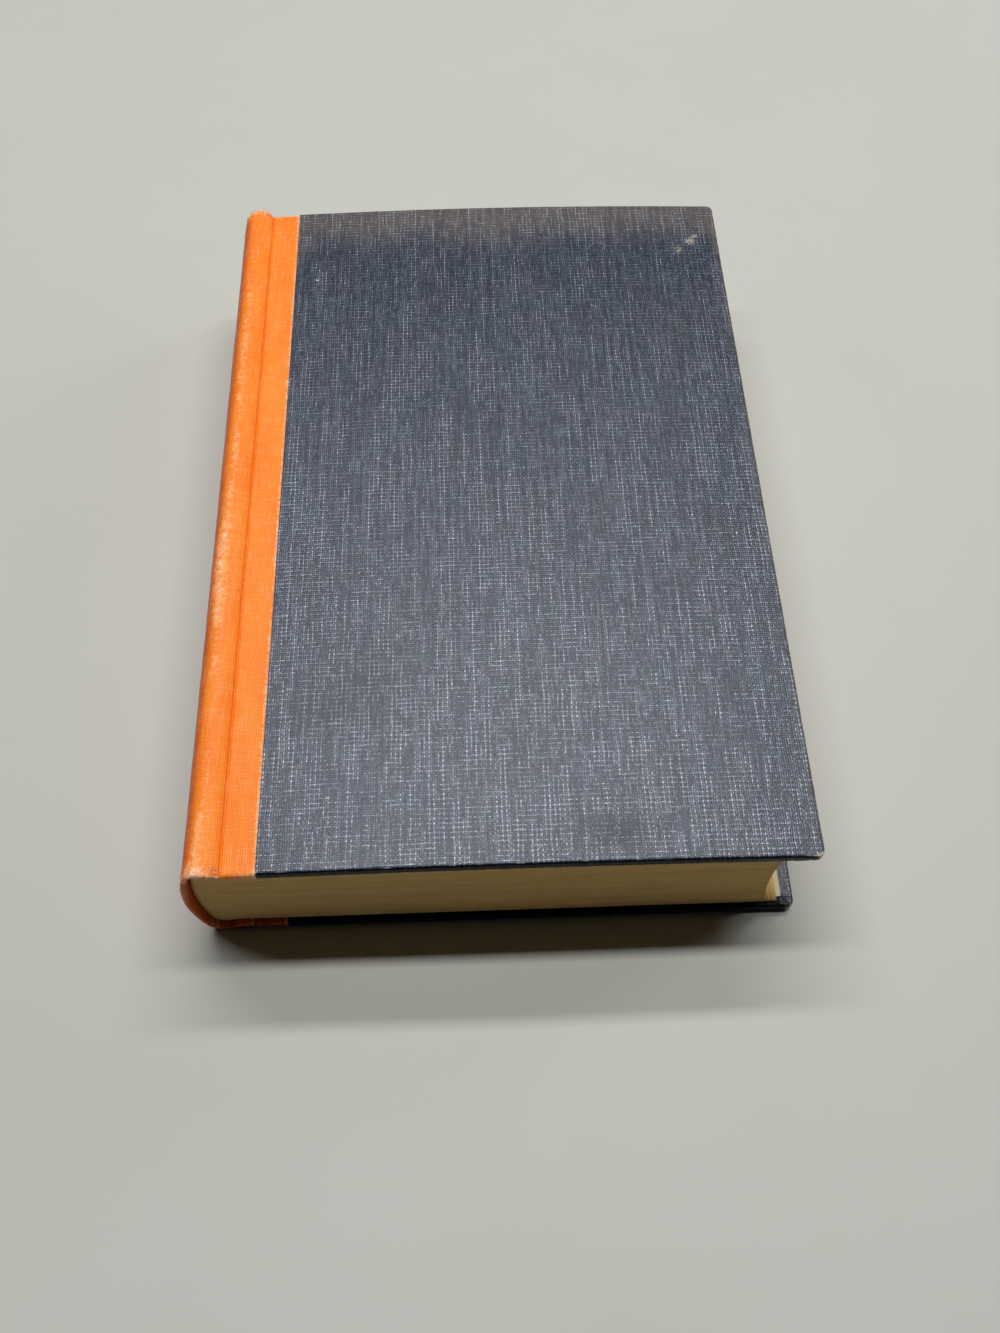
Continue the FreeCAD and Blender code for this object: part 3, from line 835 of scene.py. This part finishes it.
shell = dressSpineCloth("spine_linen", roundProfile(), 0.0)
lookOutward(shell, (spine["centreX"] - 55, 0, 20))
thicken(shell, spineCloth["thick"])
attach(shell, "book_block")
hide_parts("spine_cloth")
for side in sides:
    startAlong = spineCloth["startAlong"][side]
    strip = dressSpineCloth("joint_linen_" + side, jointProfile(side), startAlong, side)
    middleZ = size["frontZ"] - spineCloth["midCover"] if side == "front" else spineCloth["midCover"]
    lookOutward(strip, (size[side + "LipX"] + 3, 0, middleZ))
    thicken(strip, spineCloth["thick"])
    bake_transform(strip)
    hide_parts(side + "_cloth_strip")
print("spine cloth made")


# Leaves

leafBlock = {"sections": 18, "rowsEach": 12, "leavesPerRow": 1.6, "spineBuild": 1.85, "foldRise": 0.35,
             "hollow": 4.6, "flare": 2.0, "shoulderRoot": 4.2, "unevenLeaf": 0.06,
             "unevenSection": 0.09, "wave": 0.05}


def backOfLeaves():
    # Points round the backs of the sections, from the front shoulder to the back one
    kind = leafBlock
    small = spineCloth["shoulderRadius"] - kind["spineBuild"]
    large = spineCloth["spineRadius"] - kind["spineBuild"]
    angles, roots = [], []
    for side, level in (("front", size["leavesTopZ"]), ("back", size["leavesBottomZ"])):
        roots.append(spine[side + "X"] + kind["shoulderRoot"])
        dx, dz = kind["shoulderRoot"], level - spine[side + "Z"]
        angle = math.atan2(dz, dx) + upward[side] * math.acos(small / math.hypot(dx, dz))
        angles.append(angle % (2 * math.pi))
    spans = [(spine["frontX"], spine["frontZ"], small, angles[0], spine["frontTurn"]),
             (spine["centreX"], spine["centreZ"], large, spine["frontTurn"], spine["backTurn"]),
             (spine["backX"], spine["backZ"], small, spine["backTurn"], angles[1])]
    total = sum(radius * (last - first) for _, _, radius, first, last in spans)

    def place(share, depth):
        left = share * total
        for k, (x, z, radius, first, last) in enumerate(spans):
            angle = first + left / radius
            if angle <= last or k == 2:
                angle = min(angle, last)
                return np.array([x, z]) + (radius - depth) * np.array([math.cos(angle), math.sin(angle)])
            left -= radius * (last - first)
    return place, roots


def makeLeaves():
    kind = leafBlock
    place, (frontRoot, backRoot) = backOfLeaves()
    top, bottom = size["leavesTopZ"], size["leavesBottomZ"]
    high = top - bottom
    large = spineCloth["spineRadius"] - kind["spineBuild"]
    lean = (size["leavesTailTopY"] - size["leavesTailY"]) / high
    length = size["leavesHeadY"] - size["leavesTailY"]
    leaves = kind["sections"] * kind["rowsEach"]

    def foreX(z):
        deepest = size["leafCornerX"] - kind["hollow"]
        hollow = deepest + large - math.sqrt(large**2 - (z - spine["centreZ"])**2)
        out = max(smooth(top - kind["flare"], top, z), smooth(bottom + kind["flare"], bottom, z))
        return hollow + (size["leafCornerX"] - hollow) * out**1.4

    def wave(along, row, level, scale, seed):
        return kind["wave"] * ripple((along, row * 0.9, level), scale, seed)

    points, flats = [], []
    alongFore = np.linspace(0, 1, 46)[1:-1]
    sectionShift = [rng.uniform(-1, 1) * kind["unevenSection"] for _ in range(kind["sections"] + 1)]
    for row in range(leaves + 1):
        share = row / leaves
        z = top - share * high
        section = min(int(share * kind["sections"]), kind["sections"] - 1)
        inSection = share * kind["sections"] - section
        depth = kind["foldRise"] * (2 * inSection - 1)**2
        fold = place(share, depth)
        control = np.array([frontRoot + share * (backRoot - frontRoot), z])
        reach = min(0.5 + 14 * min(share, 1 - share), 5.0)
        toward = fold - control
        away = np.hypot(*toward)
        start = control + toward * min(reach / away, 0.9)
        end = control + np.array([reach, 0])
        path = [fold + (start - fold) * k / 4 for k in range(4)]
        path += [(1 - t)**2 * start + 2 * t * (1 - t) * control + t * t * end for t in np.linspace(0, 1, 9)]
        edge = np.array([foreX(z), z])
        path += [end + (edge - end) * t for t in np.linspace(0, 1, 34)[1:]]
        shift = kind["unevenLeaf"] * rng.uniform(-1, 1) + sectionShift[section]
        if row in (0, leaves):
            shift = 0.0
        tail = size["leavesTailY"] + lean * (z - bottom)
        travelled = [0.0]
        for a, b in zip(path, path[1:]):
            travelled.append(travelled[-1] + np.hypot(*(b - a)))
        around = travelled[-1]
        ring = [(x, tail + abs(shift) + wave(x, row, 1, 20, 3), height, far)
                for (x, height), far in zip(path, travelled)]
        for t in alongFore:
            y = tail + t * length
            ring.append((edge[0] + shift * 0.7 + wave(y, row, 5, 24, 8), y, z, around + t * length))
        ring += [(x, tail + length - abs(shift) + wave(x, row, 9, 20, 13), height, 2 * around + length - far)
                 for (x, height), far in zip(reversed(path), reversed(travelled))]
        points += [spot[:3] for spot in ring]
        flats += [(row * kind["leavesPerRow"], spot[3], 0) for spot in ring]
    columns = len(points) // (leaves + 1)
    faces = gridFaces(leaves + 1, columns, closed=True)
    count = len(travelled)
    for start in (0, leaves * columns):
        for c in range(count - 1):
            a, b = start + c, start + c + 1
            faces.append((a, b, start + columns - 1 - (c + 1), start + columns - 1 - c))
        faces.append([start + c for c in range(count - 1, columns - count + 1)])
    piece = makePiece("leaves", points, faces, "leaves", {"flat": flats})
    tidyMesh(piece, 0.0005)
    return piece


leaves = makeLeaves()
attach(leaves, "book_block")
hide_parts("text_block")
print("leaves made", len(leaves.data.polygons))


# Loose fibres

fibre = {"radius": 0.06, "lintRadius": 0.13, "rings": 5, "edgeGap": 0.5, "edgeLength": (0.3, 1.0),
         "frayLength": (0.24, 1.02), "tailCount": 110, "headCount": 50}
# Place on the front cover and length, in mm
lintSpecks = [(-50.7, -60.8, 1.7), (-9.4, -106.4, 0.9), (-49.2, 78.4, 0.7)]


def makeFibres(name, strands, finish, body, thick=fibre["radius"]):
    # Thin bent tubes with three sides; each strand is a root, a heading, a length and a bend
    points, faces = [], []
    rings = fibre["rings"]
    for root, heading, length, bend in strands:
        root, heading, bend = Vector(root), Vector(heading).normalized(), Vector(bend)
        across = heading.cross(Vector((0.1, 0.3, 1))).normalized()
        above = across.cross(heading)
        start = len(points)
        for k in range(rings):
            t = k / (rings - 1)
            middle = root + heading * length * t + bend * t * t
            middle.z = max(middle.z, 2 * thick)
            for a in (0, 1, 2):
                turn = a * math.tau / 3
                radius = thick * (1 - 0.5 * t)
                points.append(middle + (across * math.cos(turn) + above * math.sin(turn)) * radius)
        faces += gridFaces(rings, 3, start, closed=True)
        faces += [(start + 2, start + 1, start), tuple(start + 3 * (rings - 1) + a for a in (0, 1, 2))]
    piece = makePiece(name, points, faces, finish)
    tidyMesh(piece, 0.0001)
    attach(piece, body)


def someWay(most):
    return rng.uniform(-most, most)


def cutEdgeStrands(side):
    # Thread ends along the raw edge of a side cloth, lying on the strip
    up = upward[side]
    x = size[side + "ClothX"]
    level = outside[side](x, cloth["thick"]) + up * 0.12
    strands = []
    y = tailY + 0.8
    while y < headY - 0.8:
        root = (x + 0.12, y, level + up * rng.uniform(0, 0.15))
        strands.append((root, (-1, someWay(0.9), up * 0.1), rng.uniform(*fibre["edgeLength"]),
                        (someWay(0.2), someWay(0.3), -up * 0.1)))
        y += fibre["edgeGap"] * rng.uniform(0.6, 1.4)
    return strands


def frayStrands(edge, out, count):
    # Threads that work loose where the spine cloth folds over at the tail or the head
    profile = [outer for outer, _ in roundProfile()][4:46]
    strands = []
    for _ in range(count):
        k = int(len(profile) * rng.random()**1.5)
        x, z = profile[k]
        away = Vector((x - spine["frontX"] - 2, 0, z - spine["frontZ"])).normalized()
        back = rng.random()**2 * 3.0
        root = Vector((x, edge - out * (back - 0.15), z)) + away * 0.05
        heading = away * rng.uniform(0.15, 0.7)
        heading += Vector((someWay(0.9), out * rng.uniform(0.0, 1.0), someWay(0.5)))
        strands.append((root, heading, rng.uniform(*fibre["frayLength"]),
                        (someWay(0.4), someWay(0.3), someWay(0.3))))
    return strands


for side in sides:
    makeFibres("cut_edge_threads_" + side, cutEdgeStrands(side), "pale_thread", side + "_cover")
frayed = frayStrands(tailY, -1, fibre["tailCount"]) + frayStrands(headY, 1, fibre["headCount"])
makeFibres("frayed_threads", frayed, "orange_thread", "book_block")
bare = frayStrands(tailY, -1, fibre["tailCount"] // 2)
makeFibres("bare_threads", bare, "pale_thread", "book_block")
lint = [((x, y, frontFace(x, 0) + 0.06), (1, -0.7, 0), length, (0.3, length * 0.5, 0.05))
        for x, y, length in lintSpecks]
makeFibres("lint", lint, "lint", "front_cover", fibre["lintRadius"])
print("loose fibres made")


# Endpapers at the joints

endpaper = {"thick": 0.15, "rise": 0.95, "steps": 22}


def makeEndpaperJoint(side):
    kind = endpaper
    leaf = boxOf(side + "_flyleaf")
    paste = boxOf(side + "_pastedown")
    leafZ = (leaf[0][2] + leaf[1][2]) / 2
    pasteX = paste[0][0]
    half = kind["thick"] / 2
    pasteZ = size["insideZ"] - half if side == "front" else size["coverThick"] + half
    startX = leaf[0][0]
    path = [(startX + 1.0, leafZ), (startX + 0.4, leafZ)]
    for k in range(kind["steps"] + 1):
        t = k / kind["steps"]
        rise = upward[side] * kind["rise"] * math.sin(math.pi * t)**0.8
        path.append((startX + (pasteX - startX) * t, leafZ + (pasteZ - leafZ) * t + rise))
    path += [(pasteX + 0.5, pasteZ), (pasteX + 1.5, pasteZ)]
    ys = np.linspace(max(leaf[0][1], paste[0][1]) + 0.1, min(leaf[1][1], paste[1][1]) - 0.1, 40)
    points = [(x, y, z) for y in ys for x, z in path]
    piece = makePiece("endpaper_joint_" + side, points, gridFaces(len(ys), len(path)), "endpaper")
    thicken(piece, kind["thick"] * 0.8, 0.0)
    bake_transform(piece)


for side in sides:
    makeEndpaperJoint(side)
print("endpaper joints made")


# The CAD pieces that stay get their finish

finishes = {"spine_mull": "mull", "spine_lining": "lining_paper", "spine_inlay": "inlay_card"}
for side in sides:
    finishes.update({side + "_board": "grey_board", side + "_mull_flap": "mull",
                     side + "_flyleaf": "endpaper", side + "_pastedown": "endpaper"})
for node, finish in finishes.items():
    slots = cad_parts[node].data.materials
    if len(slots):
        slots[0] = materials[finish]
    else:
        slots.append(materials[finish])


# Floor, light and camera

studio = {"floorColour": colour(189, 190, 183), "floorCloud": colour(184, 184, 175), "floorRadius": 4.0,
          "backdrop": colour(206, 206, 199), "backdropFrom": 0.45, "backdropTo": 1.5, "worldLevel": 0.018,
          "highLamp": {"place": (0.0, 0.24, 1.5), "size": (1.6, 0.11), "power": 15.6},
          "backLamp": {"place": (0.0, 0.79, 1.5), "size": (1.6, 0.11), "power": 15.0},
          "sideLamp": {"place": (1.3, 0.7, 0.62), "size": (0.5, 0.4), "power": 4.0}}


def makeFloor():
    bpy.ops.mesh.primitive_circle_add(vertices=96, radius=studio["floorRadius"], fill_type="NGON")
    floor = bpy.context.object
    floor.name = "floor"
    material, shader = newMaterial("floor", 0.6, 0.3)
    place = ownPlace()
    clouds = grain(place, 9.0, 4.0, 0.6)
    cloudy = between(clouds, 0.3, 0.7, 0.0, 0.35)
    base = mixColour(cloudy, studio["floorColour"], studio["floorCloud"])
    link(base, shader.inputs["Base Color"])
    # Far from the book it melts into the pale backdrop
    far = put("ShaderNodeVectorMath", {0: place}, operation="LENGTH").outputs["Value"]
    seen = put("ShaderNodeLightPath").outputs["Is Camera Ray"]
    backdrop = put("ShaderNodeEmission", {"Color": studio["backdrop"]})
    share = times(between(far, studio["backdropFrom"], studio["backdropTo"]), seen)
    mixed = put("ShaderNodeMixShader", {0: share, 1: shader.outputs[0], 2: backdrop.outputs[0]})
    link(mixed.outputs[0], hand["tree"].nodes["Material Output"].inputs["Surface"])
    floor.data.materials.append(material)


def makeWorld():
    world = bpy.data.worlds.new("studio")
    bpy.context.scene.world = world
    world.use_nodes = True
    hand["tree"] = world.node_tree
    background = world.node_tree.nodes["Background"]
    # The backdrop looks pale, though little light comes from it
    background.inputs["Color"].default_value = studio["backdrop"]
    seen = put("ShaderNodeLightPath").outputs["Is Camera Ray"]
    level = put("ShaderNodeMapRange", {0: seen, 3: studio["worldLevel"], 4: 1.0}).outputs[0]
    link(level, background.inputs["Strength"])


def makeLamp(name):
    # A long lamp that looks at the book, its length along the book's width
    kind = studio[name]
    data = bpy.data.lights.new(name, "AREA")
    data.shape = "RECTANGLE"
    data.size, data.size_y = kind["size"]
    data.energy = kind["power"]
    away = Vector(kind["place"]).normalized()
    across = Vector((0, 1, 0)).cross(away).normalized()
    turn = Matrix((across, away.cross(across), away)).transposed().to_4x4()
    addObject(name, data).matrix_world = Matrix.Translation(kind["place"]) @ turn


makeFloor()
makeWorld()
for lampName in ("highLamp", "backLamp", "sideLamp"):
    makeLamp(lampName)

view = {"place": (-3.45, -193.3, 294.0), "pitch": 28.53, "yaw": -2.22, "roll": 0.27, "focalPixels": 1157.8,
        "frameHeight": 1333}
camera = addObject("camera", bpy.data.cameras.new("camera"))
turns = [Matrix.Rotation(math.radians(angle), 4, axis)
         for angle, axis in ((view["yaw"], "Z"), (view["pitch"], "X"), (view["roll"], "Z"))]
camera.matrix_world = Matrix.Translation(Vector(view["place"]) * mm) @ turns[0] @ turns[1] @ turns[2]
camera.data.sensor_width = 36.0
camera.data.lens = view["focalPixels"] / view["frameHeight"] * camera.data.sensor_width
camera.data.clip_start = 0.01
bpy.context.scene.camera = camera
bpy.context.scene.view_settings.view_transform = "Standard"

print("book finished")
